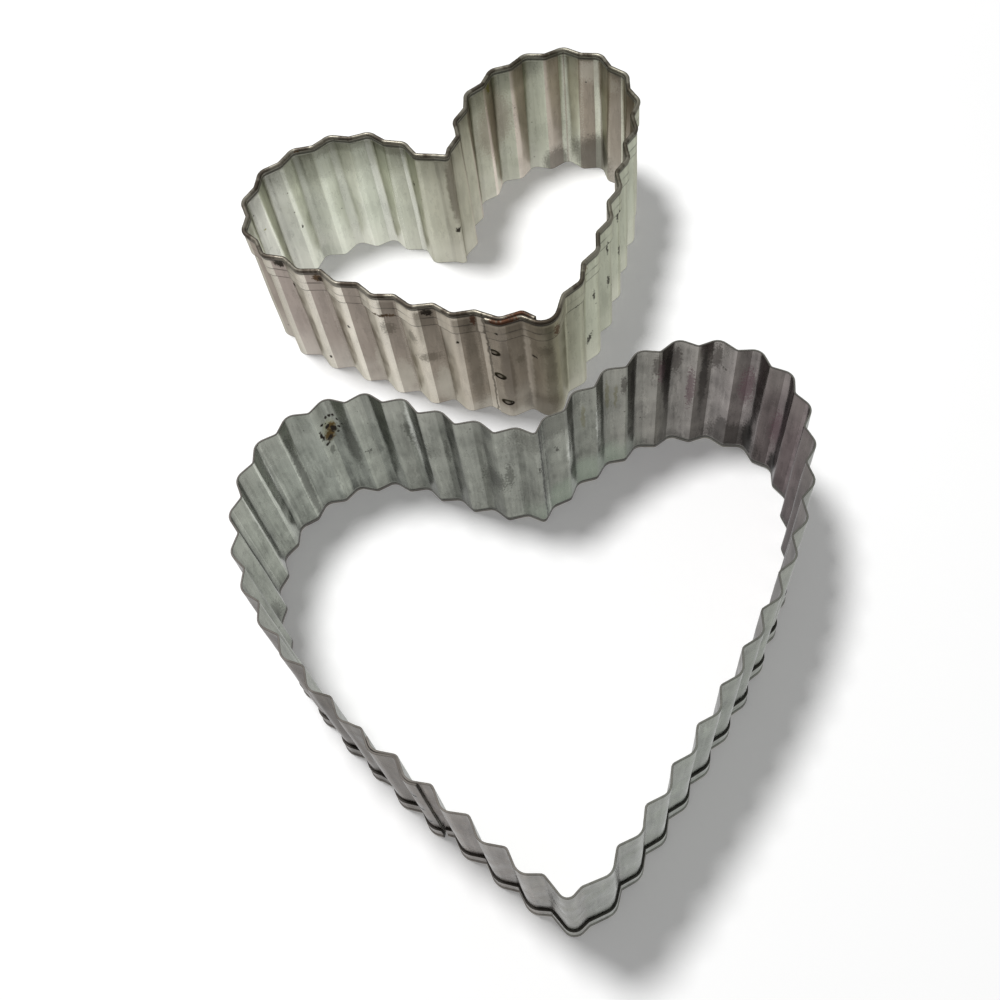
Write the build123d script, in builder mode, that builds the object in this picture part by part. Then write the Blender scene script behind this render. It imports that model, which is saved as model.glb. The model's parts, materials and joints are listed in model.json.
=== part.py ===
from build123d import *
import os
from math import atan2, cos, degrees, hypot, radians, sin, tan

os.makedirs("parts", exist_ok=True)

# Sheet and wall, shared by both cutters
sheet_thickness = 0.30
wall_height = 30.0
crest_bend_radius = 1.9
valley_bend_radius = 1.35
cleft_bend_radius = 1.0
tip_bend_radius = 2.3

# Hem: the rim is rolled outward into a bead, then the leaf is pressed back to the wall
bead_diameter = 1.05
bead_lead_angle = 25.0
leaf_gap = 0.10
small_hem_depth = 5.6
large_hem_depth = 4.0

# Lap seam, where the two ends of the strip overlap
lap_gap = 0.04
lap_clearance = 0.03
lap_valley_bend_radius = 2.6
jog_height = 1.4
notch_share = 0.08
seam_margin = 0.10

# Spot welds
nugget_diameter = 2.0
nugget_bite = 0.10
dimple_diameter = 1.7
dimple_depth = 0.08
small_weld_height_shares = (0.16, 0.43, 0.69)
large_weld_height_shares = (0.22, 0.48, 0.74)

# Large heart: 43 flutes, pitch measured along the middle of the wave
large_flutes = 43
large_pitch = 6.61
large_wave = 1.80
large_arc_shares = (0.08, 0.08, 0.12, 0.12, 0.14, 0.16, 0.15, 0.15)
large_right_headings = (42.0, 28.0, 15.0, -34.0, -100.0, -123.0, -134.0, -137.5, -143.0)
large_left_headings = (23.0, 31.0, 37.5, -16.0, -69.5, -107.0, -125.5, -129.0, -128.0)
large_cleft_lift = 0.0
large_tip_reach = -0.8
large_cleft_x = 3.23
large_cleft_y = -9.45
large_turn = 2.4

# Small heart: 31 flutes
small_flutes = 31
small_pitch = 7.49
small_wave = 1.85
small_arc_shares = (0.10, 0.12, 0.12, 0.12, 0.14, 0.14, 0.13, 0.13)
small_right_headings = (67.0, 68.0, 27.0, -13.5, -72.0, -121.0, -119.0, -128.0, -138.0)
small_left_headings = (37.0, 55.0, 3.0, -32.0, -89.0, -141.0, -138.0, -150.0, -144.0)
small_cleft_lift = 1.7
small_tip_reach = 1.8
small_cleft_x = -1.67
small_cleft_y = 53.55
small_turn = 6.4


def base_point(shares, headings, half_length, distance):
    """Point and heading at a distance along one half of a heart, drawn as a chain of arcs."""
    x = 0
    y = 0
    left = distance
    for share, first, last in zip(shares, headings[:-1], headings[1:]):
        length = share * half_length
        a = radians(first)
        bend = (radians(last) - a) / length
        step = min(left, length)
        b = a + bend * step
        x += (sin(b) - sin(a)) / bend
        y -= (cos(b) - cos(a)) / bend
        left -= step
        if left <= 0:
            return x, y, b
    return x + left * cos(b), y + left * sin(b), b


def half_vertices(shares, headings, flutes, pitch, wave, side):
    """Wave vertices of one half from the cleft to the tip: crest, valley, crest and so on."""
    half_length = flutes * pitch / 2
    found = []
    for step in range(1, flutes):
        x, y, heading = base_point(shares, headings, half_length, step * pitch / 2)
        reach = wave / 2 if step % 2 == 1 else -wave / 2
        found.append((side * (x - reach * sin(heading)), y + reach * cos(heading)))
    return found


def heart_ring(shares, right, left, flutes, pitch, wave, lift, reach, cleft_x, cleft_y, turn):
    """All the vertices of one heart, clockwise from the tip, seen from above."""
    right_half = half_vertices(shares, right, flutes, pitch, wave, 1)
    left_half = half_vertices(shares, left, flutes, pitch, wave, -1)
    half_length = flutes * pitch / 2
    right_end = base_point(shares, right, half_length, half_length)
    left_end = base_point(shares, left, half_length, half_length)
    tip = ((right_end[0] - left_end[0]) / 2, (right_end[1] + left_end[1]) / 2 - reach)
    local = [tip] + left_half[::-1] + [(0, lift)] + right_half
    c = cos(radians(turn))
    s = sin(radians(turn))
    return [(cleft_x + c * x - s * y, cleft_y + s * x + c * y) for x, y in local]


def between(first, last, share):
    """Point part of the way along a flat facet."""
    return (first[0] + share * (last[0] - first[0]), first[1] + share * (last[1] - first[1]))


def bend_lines(corners):
    """Flats joined by round bends. Each corner is (x, y, bend radius); the ends have no bend."""
    here = corners[0][:2]
    for before, corner, after in zip(corners[:-2], corners[1:-1], corners[2:]):
        a = atan2(corner[1] - before[1], corner[0] - before[0])
        b = atan2(after[1] - corner[1], after[0] - corner[0])
        turn = atan2(sin(b - a), cos(b - a))
        tangent = corner[2] * tan(abs(turn) / 2)
        start = (corner[0] - tangent * cos(a), corner[1] - tangent * sin(a))
        end = (corner[0] + tangent * cos(b), corner[1] + tangent * sin(b))
        sag = corner[2] * (1 / cos(turn / 2) - 1)
        to_centre = a + turn / 2 + (radians(90) if turn > 0 else -radians(90))
        middle = (corner[0] + sag * cos(to_centre), corner[1] + sag * sin(to_centre))
        Line(here, start)
        ThreePointArc(start, middle, end)
        here = end
    Line(here, corners[-1][:2])


def section_plane(start, ahead, height, upward):
    """Plane across the strip: x points out of the heart, y from the cut edge to the rim."""
    run = hypot(ahead[0] - start[0], ahead[1] - start[1])
    u = ((ahead[0] - start[0]) / run, (ahead[1] - start[1]) / run)
    outward = (-u[1], u[0], 0) if upward else (u[1], -u[0], 0)
    return Plane(origin=(start[0], start[1], height), x_dir=outward, z_dir=(u[0], u[1], 0))


def line_chain(points):
    """Straight edges from each point to the next."""
    return [Edge.make_line(here, there) for here, there in zip(points[:-1], points[1:])]


def hem_outline(hem_depth, foot_x, head_x, jogged):
    """Outline of wall, bead and leaf. The wall stands at foot_x below the hem, head_x in it."""
    half = sheet_thickness / 2
    outer = bead_diameter / 2
    inner = outer - sheet_thickness
    bead_y = wall_height - outer
    bead_x = head_x - half + outer
    lead = radians(bead_lead_angle)
    jog_top = wall_height - hem_depth - lap_clearance
    jog_foot = jog_top - jog_height
    lean = atan2(head_x - foot_x, jog_height)
    mitre = half * tan(lean / 2)
    leaf_inner = head_x + half + leaf_gap
    leaf_outer = leaf_inner + sheet_thickness
    leaf_foot = wall_height - hem_depth

    def on_bead(radius):
        return bead_x + radius * cos(lead), bead_y - radius * sin(lead)

    out_end = on_bead(outer)
    in_end = on_bead(inner)
    out_drop = (out_end[0] - leaf_outer) / tan(lead)
    in_drop = (in_end[0] - leaf_inner) / tan(lead)
    top = (bead_x, bead_y + outer)
    inner_top = (bead_x, bead_y + inner)
    inner_face = [(foot_x - half, 0)]
    outer_face = [(head_x + half, bead_y)]
    if jogged:
        inner_face += [(foot_x - half, jog_foot + mitre), (head_x - half, jog_top + mitre)]
        outer_face += [(head_x + half, jog_top - mitre), (foot_x + half, jog_foot - mitre)]
    inner_face.append((head_x - half, bead_y))
    outer_face += [(foot_x + half, 0), (foot_x - half, 0)]
    leaf = [
        out_end,
        (leaf_outer, out_end[1] - out_drop),
        (leaf_outer, leaf_foot),
        (leaf_inner, leaf_foot),
        (leaf_inner, in_end[1] - in_drop),
        in_end,
    ]
    edges = line_chain(inner_face)
    edges.append(Edge.make_three_point_arc(inner_face[-1], top, out_end))
    edges += line_chain(leaf)
    edges.append(Edge.make_three_point_arc(in_end, inner_top, outer_face[0]))
    return edges + line_chain(outer_face)


small_ring = heart_ring(
    small_arc_shares, small_right_headings, small_left_headings, small_flutes, small_pitch,
    small_wave, small_cleft_lift, small_tip_reach, small_cleft_x, small_cleft_y, small_turn,
)
large_ring = heart_ring(
    large_arc_shares, large_right_headings, large_left_headings, large_flutes, large_pitch,
    large_wave, large_cleft_lift, large_tip_reach, large_cleft_x, large_cleft_y, large_turn,
)


def ring_radius(place, flutes, lap_places):
    """Bend radius at one vertex of a ring: even places are crests, odd places are valleys."""
    spot = place % (2 * flutes)
    if spot == 0:
        return tip_bend_radius
    if spot == flutes:
        return cleft_bend_radius
    if spot in lap_places:
        return lap_valley_bend_radius
    return crest_bend_radius if spot % 2 == 0 else valley_bend_radius


def corner_run(ring, lap_places, first, last, start, end):
    """Corners from one point on a flat to another, through the places between them."""
    step = 1 if last > first else -1
    flutes = len(ring) // 2
    found = [start + (0,)]
    for place in range(first, last + step, step):
        spot = place % len(ring)
        found.append(ring[spot] + (ring_radius(spot, flutes, lap_places),))
    return found + [end + (0,)]


def flat_ends(ring, lap_places, first, last):
    """Where the flat between two neighbouring bends begins and ends."""
    flutes = len(ring) // 2
    ends = []
    for here, there in ((first, last), (last, first)):
        step = here - there
        corner = ring[here % len(ring)]
        before = ring[(here + step) % len(ring)]
        after = ring[there % len(ring)]
        a = atan2(corner[1] - before[1], corner[0] - before[0])
        b = atan2(after[1] - corner[1], after[0] - corner[0])
        turn = atan2(sin(b - a), cos(b - a))
        tangent = ring_radius(here, flutes, lap_places) * tan(abs(turn) / 2)
        length = hypot(after[0] - corner[0], after[1] - corner[1])
        ends.append(between(corner, after, (tangent + seam_margin) / length))
    return ends


def sweep_strip(corners, height, upward, hem_depth, foot_x, head_x, jogged):
    """One stretch of hemmed strip."""
    with BuildSketch(section_plane(corners[0], corners[1], height, upward)) as section:
        make_face(hem_outline(hem_depth, foot_x, head_x, jogged))
    with BuildLine(Plane.XY.offset(height)) as run:
        bend_lines(corners)
    sweep(sections=section.sketch, path=run.wire())


def jog_strip(ends, height, upward, hem_depth, foot_x, head_x):
    """The short flat where the wall and the hem step outward by different amounts."""
    start, end = ends
    span = (2 * end[0] - start[0], 2 * end[1] - start[1])
    near = section_plane(start, end, height, upward).location
    far = section_plane(end, span, height, upward).location
    near_wire = Wire([near * edge for edge in hem_outline(hem_depth, 0, 0, True)])
    far_wire = Wire([far * edge for edge in hem_outline(hem_depth, foot_x, head_x, True)])
    add(Solid.make_loft([near_wire, far_wire], ruled=True))


def slant_strip(ends, height, upward, hem_depth, shift_x):
    """The short flat where the whole strip slants outward by one amount."""
    start, end = ends
    run = hypot(end[0] - start[0], end[1] - start[1])
    u = ((end[0] - start[0]) / run, (end[1] - start[1]) / run)
    outward = (-u[1], u[0]) if upward else (u[1], -u[0])
    slant = (run * u[0] + shift_x * outward[0], run * u[1] + shift_x * outward[1], 0)
    with BuildSketch(section_plane(start, end, height, upward)) as section:
        make_face(hem_outline(hem_depth, 0, 0, False))
    extrude(to_extrude=section.sketch, amount=hypot(run, shift_x), dir=slant)


def plain_strip(corners, height, upward, top):
    """A stretch of strip with the hem cut away."""
    half = sheet_thickness / 2
    with BuildSketch(section_plane(corners[0], corners[1], height, upward)) as section:
        with BuildLine() as outline:
            Polyline((-half, 0), (-half, top), (half, top), (half, 0), close=True)
        make_face(outline.edges())
    with BuildLine(Plane.XY.offset(height)) as run:
        bend_lines(corners)
    sweep(sections=section.sketch, path=run.wire())


def facet_plane(first, last, share, height, upward):
    """Plane on the middle of a flat: z points out of the heart."""
    spot = between(first, last, share)
    run = hypot(last[0] - first[0], last[1] - first[1])
    u = ((last[0] - first[0]) / run, (last[1] - first[1]) / run)
    outward = (-u[1], u[0], 0) if upward else (u[1], -u[0], 0)
    return Plane(origin=(spot[0], spot[1], height), x_dir=(u[0], u[1], 0), z_dir=outward)


def weld_nuggets(first, last, share, heights, upward):
    """Round nuggets that join the two thicknesses of the lap."""
    face_x = sheet_thickness / 2
    thick = lap_gap + 2 * nugget_bite
    for height in heights:
        spot = facet_plane(first, last, share, height, upward)
        with Locations(spot.offset(face_x - nugget_bite + thick / 2)):
            Cylinder(nugget_diameter / 2, thick)


def weld_dimples(first, last, share, heights, upward):
    """Shallow round dents that the welding tip left in the outer face."""
    face_x = lap_foot_x + sheet_thickness / 2
    radius = ((dimple_diameter / 2) ** 2 + dimple_depth**2) / (2 * dimple_depth)
    for height in heights:
        spot = facet_plane(first, last, share, height, upward)
        with Locations(spot.offset(face_x + radius - dimple_depth)):
            Sphere(radius, mode=Mode.SUBTRACT)


# Where the seams lie, in ring places counted clockwise from the tip
small_inner_end_share = 0.45
small_outer_end_share = 0.78
small_lap_places = (1,)
small_weld_share = 0.50
large_inner_end_share = 0.45
large_outer_end_share = 0.50
large_lap_places = (9, 11)
large_weld_share = 0.50

# The outer end of a lap runs outside the inner end by one sheet, or by one whole hem
lap_foot_x = sheet_thickness + lap_gap
small_lap_head_x = bead_diameter + lap_clearance

# Small cutter, hem up: the strip runs clockwise and its outer end covers places 1 and 2
small_start = between(small_ring[0], small_ring[1], small_inner_end_share)
small_stop = between(small_ring[2], small_ring[3], small_outer_end_share)
small_last = 2 * small_flutes - 1
small_shift = flat_ends(small_ring, small_lap_places, small_last, small_last + 1)
small_lap_run = corner_run(
    small_ring, small_lap_places, small_last + 1, small_last + 3, small_shift[1], small_stop
)
small_main_run = corner_run(
    small_ring, small_lap_places, 1, small_last, small_start, small_shift[0]
)
small_weld_heights = [share * wall_height for share in small_weld_height_shares]

with BuildPart() as small_cutter_spot_welds:
    weld_nuggets(small_ring[2], small_ring[3], small_weld_share, small_weld_heights, True)
small_cutter_spot_welds.part.label = "small_cutter_spot_welds"
export_step(small_cutter_spot_welds.part, "parts/small_cutter_spot_welds.step")

with BuildPart() as small_cutter_band:
    sweep_strip(small_lap_run, 0, True, small_hem_depth, lap_foot_x, small_lap_head_x, True)
    jog_strip(small_shift, 0, True, small_hem_depth, lap_foot_x, small_lap_head_x)
    sweep_strip(small_main_run, 0, True, small_hem_depth, 0, 0, False)
    weld_dimples(small_ring[2], small_ring[3], small_weld_share, small_weld_heights, True)
    add(small_cutter_spot_welds.part, mode=Mode.SUBTRACT)
small_cutter_band.part.label = "small_cutter_band"
export_step(small_cutter_band.part, "parts/small_cutter_band.step")

# Large cutter, upside down: the strip runs counterclockwise from the rim level downward
large_start = between(large_ring[11], large_ring[10], large_inner_end_share)
large_stop = between(large_ring[8], large_ring[7], large_outer_end_share)
large_notch = between(large_ring[8], large_ring[7], large_outer_end_share + notch_share)
large_last = 11 - 2 * large_flutes
large_shift = flat_ends(large_ring, large_lap_places, large_last + 1, large_last)
large_lap_run = corner_run(
    large_ring, large_lap_places, large_last, large_last - 3, large_shift[1], large_stop
)
large_main_run = corner_run(
    large_ring, large_lap_places, 7, large_last + 1, large_notch, large_shift[0]
)
large_plain_run = corner_run(large_ring, large_lap_places, 10, 8, large_start, large_notch)
large_weld_heights = [share * wall_height for share in large_weld_height_shares]
large_notch_top = wall_height - bead_diameter / 2

with BuildPart() as large_cutter_spot_welds:
    weld_nuggets(large_ring[9], large_ring[8], large_weld_share, large_weld_heights, False)
large_cutter_spot_welds.part.label = "large_cutter_spot_welds"
export_step(large_cutter_spot_welds.part, "parts/large_cutter_spot_welds.step")

with BuildPart() as large_cutter_band:
    sweep_strip(large_lap_run, wall_height, False, large_hem_depth, lap_foot_x, lap_foot_x, False)
    slant_strip(large_shift, wall_height, False, large_hem_depth, lap_foot_x)
    sweep_strip(large_main_run, wall_height, False, large_hem_depth, 0, 0, False)
    plain_strip(large_plain_run, wall_height, False, large_notch_top)
    weld_dimples(large_ring[9], large_ring[8], large_weld_share, large_weld_heights, False)
    add(large_cutter_spot_welds.part, mode=Mode.SUBTRACT)
large_cutter_band.part.label = "large_cutter_band"
export_step(large_cutter_band.part, "parts/large_cutter_band.step")
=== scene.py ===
import json
from functools import partial
from math import cos, hypot, pi, radians, sin, tan
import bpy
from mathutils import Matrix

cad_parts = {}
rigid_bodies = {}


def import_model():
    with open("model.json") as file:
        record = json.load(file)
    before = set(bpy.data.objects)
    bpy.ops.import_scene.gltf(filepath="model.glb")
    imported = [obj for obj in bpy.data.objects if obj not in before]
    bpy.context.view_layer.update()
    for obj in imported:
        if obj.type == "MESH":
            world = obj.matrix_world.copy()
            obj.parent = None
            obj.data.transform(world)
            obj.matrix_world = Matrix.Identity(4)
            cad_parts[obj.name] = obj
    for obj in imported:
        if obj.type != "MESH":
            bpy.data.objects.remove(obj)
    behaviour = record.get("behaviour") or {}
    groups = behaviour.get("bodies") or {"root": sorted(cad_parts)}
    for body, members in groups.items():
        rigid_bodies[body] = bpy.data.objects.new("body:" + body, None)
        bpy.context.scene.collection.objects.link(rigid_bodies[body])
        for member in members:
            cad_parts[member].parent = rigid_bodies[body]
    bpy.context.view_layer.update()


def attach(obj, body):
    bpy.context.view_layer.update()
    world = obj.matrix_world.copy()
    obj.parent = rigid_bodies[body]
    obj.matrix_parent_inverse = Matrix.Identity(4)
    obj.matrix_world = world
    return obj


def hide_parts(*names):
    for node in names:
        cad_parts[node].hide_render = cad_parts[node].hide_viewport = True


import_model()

from types import SimpleNamespace

import bmesh
import bpy
from bpy.props import FloatProperty, FloatVectorProperty, IntProperty, PointerProperty
from mathutils import Matrix, Vector

bl_info = {
    "name": "Fluted Heart Cutters",
    "version": (1, 0, 0),
    "blender": (4, 5, 0),
    "location": "View3D > Sidebar > Cutters",
    "description": "Dresses a large and a small fluted heart cutter in old tinplate",
    "category": "Object",
}

mm = 0.001

# Each half of a heart is a chain of arcs from the cleft to the tip: the length of each arc as a
# share of the half, and the heading of the strip, in degrees, where the arcs meet. Bends are
# counted clockwise from the tip. Nudges are the millimetres by which hand bending has moved single
# bends, and an end of the strip lies between two bends, a share of the way from one to the other.
LARGE_HEART = {
    "arc_shares": (0.08, 0.08, 0.12, 0.12, 0.14, 0.16, 0.15, 0.15),
    "right_headings": (42.0, 28.0, 15.0, -34.0, -100.0, -123.0, -134.0, -137.5, -143.0),
    "left_headings": (23.0, 31.0, 37.5, -16.0, -69.5, -107.0, -125.5, -129.0, -128.0),
    "nudges": {0: (-0.1, -0.3), 1: (-0.25, 0.7), -1: (-0.6, 0.1), -2: (0.0, 0.2)},
    "covered_end": (11, 10, 0.45), "hem_notch": (8, 7, 0.58), "outer_end": (8, 7, 0.50), "lapped_bends": 4,
}
SMALL_HEART = {
    "arc_shares": (0.10, 0.12, 0.12, 0.12, 0.14, 0.14, 0.13, 0.13),
    "right_headings": (67.0, 68.0, 27.0, -13.5, -72.0, -121.0, -119.0, -128.0, -138.0),
    "left_headings": (37.0, 55.0, 3.0, -32.0, -89.0, -141.0, -138.0, -150.0, -144.0),
    "nudges": {
        0: (0.5, 0.2), 1: (1.25, 1.35), 2: (1.3, 0.4), 10: (0.0, 0.2), 11: (-0.1, 0.4), 12: (-0.2, 0.6),
        13: (-0.3, 0.8), 14: (-0.4, 0.8), 15: (-0.5, 0.6), 16: (-0.3, 0.3),
    },
    "covered_end": (0, 1, 0.54), "outer_end": (2, 3, 0.53), "lapped_bends": 3,
}

# How finely the sheet is divided into faces: up the wall, round the rim and round each bend
WALL_STEP = 1.2 * mm
RIM_FACES = 14
RIM_INNER_FACES = 8
BEND_FACES = 10

# Folds of the sheet that are sharper than this show as edges
SHARP_FOLD = radians(38)

# Nested flutes lean on each other, so each thickness in a lap steps out by a little more than itself
LAP_LEAN = 1.12

# Heights over which the flutes fade towards the hem, the stretch beside the covered end where the
# wall starts to wander, and how often it swings in a metre of strip
FADE_FOOT, FADE_HEAD = 8 * mm, 28 * mm
STEADY_END, WANDER_START = 18 * mm, 28 * mm
SWINGS = 90.0


def srgb(code):
    """Turns a hex colour as seen on a screen into the linear numbers that a shader takes."""
    parts = [int(code[i:i + 2], 16) / 255 for i in (1, 3, 5)]
    return [p / 12.92 if p <= 0.04045 else ((p + 0.055) / 1.055) ** 2.4 for p in parts] + [1.0]


def length(name, description, millimetres):
    """A length that the panel shows, with its default in millimetres."""
    return FloatProperty(name=name, description=description, default=millimetres * mm, unit="LENGTH")


def angle(name, description, degrees):
    """An angle that the panel shows, with its default in degrees."""
    return FloatProperty(name=name, description=description, default=radians(degrees), subtype="ANGLE")


def factor(name, description, share):
    """A plain share that the panel shows."""
    return FloatProperty(name=name, description=description, default=share, subtype="FACTOR")


def position(name, description, *millimetres):
    """A place that the panel shows, with its default in millimetres."""
    return FloatVectorProperty(name=name, description=description, size=len(millimetres), unit="LENGTH",
                               default=[part * mm for part in millimetres])


def paint(name, description, code):
    """A colour that the panel shows, with its default as an sRGB hex value."""
    return FloatVectorProperty(name=name, description=description, default=srgb(code), size=4,
                               min=0.0, max=1.0, subtype="COLOR")


class StripSizes(bpy.types.PropertyGroup):
    """Sizes of the tinplate strip that both cutters are bent from."""

    sheet: length("Sheet", "Thickness of the tinplate", 0.30)
    height: length("Height", "Cutting edge to rim", 30)
    bead: length("Bead", "Diameter of the rolled rim", 0.84)
    bead_lead: angle("Bead lead", "Slope of the leaf where it leaves the bead", 25)
    leaf_gap: length("Leaf gap", "Gap between the folded leaf and the wall", 0.06)
    lap_gap: length("Lap gap", "Gap between the lapped ends", 0.04)
    lap_clearance: length("Lap clearance", "Room round the covered rim", 0.03)
    flare_foot: length("Flare foot", "Height where the lapped wall starts to lean out", 16)
    burr: length("Burr", "Rounding left on the sheared edges", 0.04)


class LargeCutterSizes(bpy.types.PropertyGroup):
    """The large cutter, which lies upside down on its rim."""

    flutes: IntProperty(name="Flutes", description="Flutes around the heart", default=43)
    pitch: length("Pitch", "Length of strip per flute", 6.61)
    wave: length("Wave", "Depth of a flute", 1.80)
    hem: length("Hem", "Depth of the folded hem", 4.0)
    lift: length("Cleft lift", "Cleft bend moved outwards", 0.0)
    reach: length("Tip reach", "Point moved outwards", -0.8)
    crest_bend: length("Crest bend", "Bend radius of an outward flute", 2.0)
    valley_bend: length("Valley bend", "Bend radius of an inward flute", 0.7)
    cleft_bend: length("Cleft bend", "Bend radius between the lobes", 0.6)
    tip_bend: length("Tip bend", "Bend radius at the point", 1.3)
    cleft: position("Cleft", "Place of the cleft", 3.23, -9.45)
    turn: angle("Turn", "Turn of the heart on the table", 2.4)
    uneven: factor("Uneven", "How unequal the flutes are", 0.10)
    seed: IntProperty(name="Seed", description="Another number gives other uneven flutes", default=3)
    hem_stiffness: factor("Hem stiffness", "Share of the flute depth lost at the stiff hem", 0.08)
    waver: length("Waver", "How far the wall wanders", 0.3)
    spacing: length("Face spacing", "Length of a face along the strip", 0.34)
    tint_length: length("Tint length", "Length of strip that the tints are spread over", 309.57)
    wear: factor("Wear", "Strength of the streaks, runs and mottling", 1.05)
    dull: factor("Dullness", "Roughness added to the tin", 0.0)
    pale_edge: factor("Pale edge", "How pale the cutting edge is rubbed", 0.10)
    sheen: paint("Sheen", "Tint of the mirror at a slant", "#C8C8C8")


class SmallCutterSizes(bpy.types.PropertyGroup):
    """The small cutter, which stands rim up."""

    flutes: IntProperty(name="Flutes", description="Flutes around the heart", default=31)
    pitch: length("Pitch", "Length of strip per flute", 7.49)
    wave: length("Wave", "Depth of a flute", 2.2)
    hem: length("Hem", "Depth of the folded hem", 5.6)
    lift: length("Cleft lift", "Cleft bend moved outwards", 1.7)
    reach: length("Tip reach", "Point moved outwards", 1.8)
    crest_bend: length("Crest bend", "Bend radius of an outward flute", 1.9)
    valley_bend: length("Valley bend", "Bend radius of an inward flute", 1.4)
    cleft_bend: length("Cleft bend", "Bend radius between the lobes", 0.6)
    tip_bend: length("Tip bend", "Bend radius at the point", 2.7)
    cleft: position("Cleft", "Place of the cleft", -1.67, 53.55)
    turn: angle("Turn", "Turn of the heart on the table", 6.4)
    uneven: factor("Uneven", "How unequal the flutes are", 0.10)
    seed: IntProperty(name="Seed", description="Another number gives other uneven flutes", default=8)
    hem_stiffness: factor("Hem stiffness", "Share of the flute depth lost at the stiff hem", 0.20)
    waver: length("Waver", "How far the wall wanders", 0.3)
    spacing: length("Face spacing", "Length of a face along the strip", 0.3)
    tint_length: length("Tint length", "Length of strip that the tints are spread over", 265.35)
    wear: factor("Wear", "Strength of the streaks, runs and mottling", 0.45)
    dull: factor("Dullness", "Roughness added to the tin", 0.10)
    # This cutter stands on its cutting edge, so its pale edge is partly rubbed wear and partly a painted
    # reflection of the bright floor
    pale_edge: factor("Pale edge", "How pale the cutting edge is rubbed", 0.30)
    sheen: paint("Sheen", "Tint of the mirror at a slant", "#CCCAC2")


class StageSizes(bpy.types.PropertyGroup):
    """Floor, lamp and camera."""

    floor: length("Floor", "Side of the square floor", 4000)
    card: paint("Card", "Colour of the floor", "#F1F1F1")
    key_power: FloatProperty(name="Key power", description="Power of the lamp", default=4.85, unit="POWER")
    key_size: length("Key size", "Diameter of the lamp", 160)
    key_place: position("Key place", "Where the lamp hangs", -165, 155, 720)
    sky: FloatProperty(name="Sky", description="Strength of the even light", default=0.2)
    lens: FloatProperty(name="Lens", description="Focal length on a 36 mm sensor", default=39.7)
    eye_place: position("Camera place", "Where the camera hangs", -4.17, -104.45, 178.25)
    eye_tilt: angle("Camera tilt", "Tilt of the camera from straight down", 29.66)
    eye_roll: angle("Camera roll", "Turn of the camera about its own axis", -10.62)


class CutterSettings(bpy.types.PropertyGroup):
    """Everything that the panel shows."""

    strip: PointerProperty(type=StripSizes)
    large: PointerProperty(type=LargeCutterSizes)
    small: PointerProperty(type=SmallCutterSizes)
    stage: PointerProperty(type=StageSizes)


# Outline of the strip seen from above

def arc_chain(shares, headings, half_length, distance):
    """Place and heading on one half of a heart at a distance from the cleft."""
    x = y = 0.0
    left = distance
    for share, first, last in zip(shares, headings[:-1], headings[1:]):
        arc = share * half_length
        a = radians(first)
        bend = (radians(last) - a) / arc
        b = a + bend * min(left, arc)
        x += (sin(b) - sin(a)) / bend
        y -= (cos(b) - cos(a)) / bend
        left -= arc
        if left <= 0:
            return x, y, b
    return x + left * cos(b), y + left * sin(b), b


def heart_places(heart, sizes):
    """Bends clockwise from the tip: (point on the middle line, outward direction, reach)."""
    half = sizes.flutes * sizes.pitch / 2
    sides = []
    for headings, side in ((heart["left_headings"], -1), (heart["right_headings"], 1)):
        found = []
        for step in range(1, sizes.flutes):
            x, y, heading = arc_chain(heart["arc_shares"], headings, half, step * sizes.pitch / 2)
            outward = Vector((-side * sin(heading), cos(heading)))
            found.append((Vector((side * x, y)), outward, 1 if step % 2 else -1))
        sides.append(found)
    left_end = arc_chain(heart["arc_shares"], heart["left_headings"], half, half)
    right_end = arc_chain(heart["arc_shares"], heart["right_headings"], half, half)
    tip = Vector(((right_end[0] - left_end[0]) / 2, (right_end[1] + left_end[1]) / 2 - sizes.reach))
    local = [(tip, Vector((0, -1)), 0)] + sides[0][::-1]
    local += [(Vector((0, sizes.lift)), Vector((0, 1)), 0)] + sides[1]
    turn = Matrix.Rotation(sizes.turn, 2)
    cleft = Vector(sizes.cleft)
    places = [(cleft + turn @ point, turn @ outward, reach) for point, outward, reach in local]
    for place, nudge in heart["nudges"].items():
        point, outward, reach = places[place]
        places[place] = (point + Vector(nudge) * mm, outward, reach)
    return places


def bend_radius(place, sizes):
    """Even places are crests and odd places are valleys, counted clockwise from the tip."""
    counted = place % (2 * sizes.flutes)
    if counted == 0:
        return sizes.tip_bend
    if counted == sizes.flutes:
        return sizes.cleft_bend
    return sizes.crest_bend if counted % 2 == 0 else sizes.valley_bend


def part_way(places, first, last, share):
    """Middle point and flute vector part of the way between two places."""
    a = places[first % len(places)]
    b = places[last % len(places)]
    return a[0].lerp(b[0], share), (a[1] * a[2]).lerp(b[1] * b[2], share)


def strip_run(heart, sizes, start, last, stop, lapped):
    """Rows of (point, flute vector, bend radius, place, lap) along the strip, end to end."""
    places = heart_places(heart, sizes)
    point, flute = part_way(places, *start)
    rows = [(point, flute, 0.0, start[0] + start[2] * (start[1] - start[0]), 0.0)]
    first = start[1]
    step = 1 if last > first else -1
    for place in range(first, last + step, step):
        point, outward, reach = places[place % len(places)]
        rows.append((point, outward * reach, bend_radius(place, sizes), place, float(place in lapped)))
    point, flute = part_way(places, *stop)
    rows.append((point, flute, 0.0, stop[0] + stop[2] * (stop[1] - stop[0]), float(len(lapped) > 0)))
    return rows


# Section of the strip: x points out of the heart, y runs from the cutting edge to the rim

def split_line(a, b):
    """Points from a up to, but not including, b."""
    count = max(1, round(hypot(b[0] - a[0], b[1] - a[1]) / WALL_STEP))
    return [(a[0] + (b[0] - a[0]) * i / count, a[1] + (b[1] - a[1]) * i / count) for i in range(count)]


def split_arc(centre, radius, first, last, count):
    """Points from one angle up to, but not including, another."""
    angles = [first + (last - first) * i / count for i in range(count)]
    return [(centre[0] + radius * cos(a), centre[1] + radius * sin(a)) for a in angles]


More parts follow.
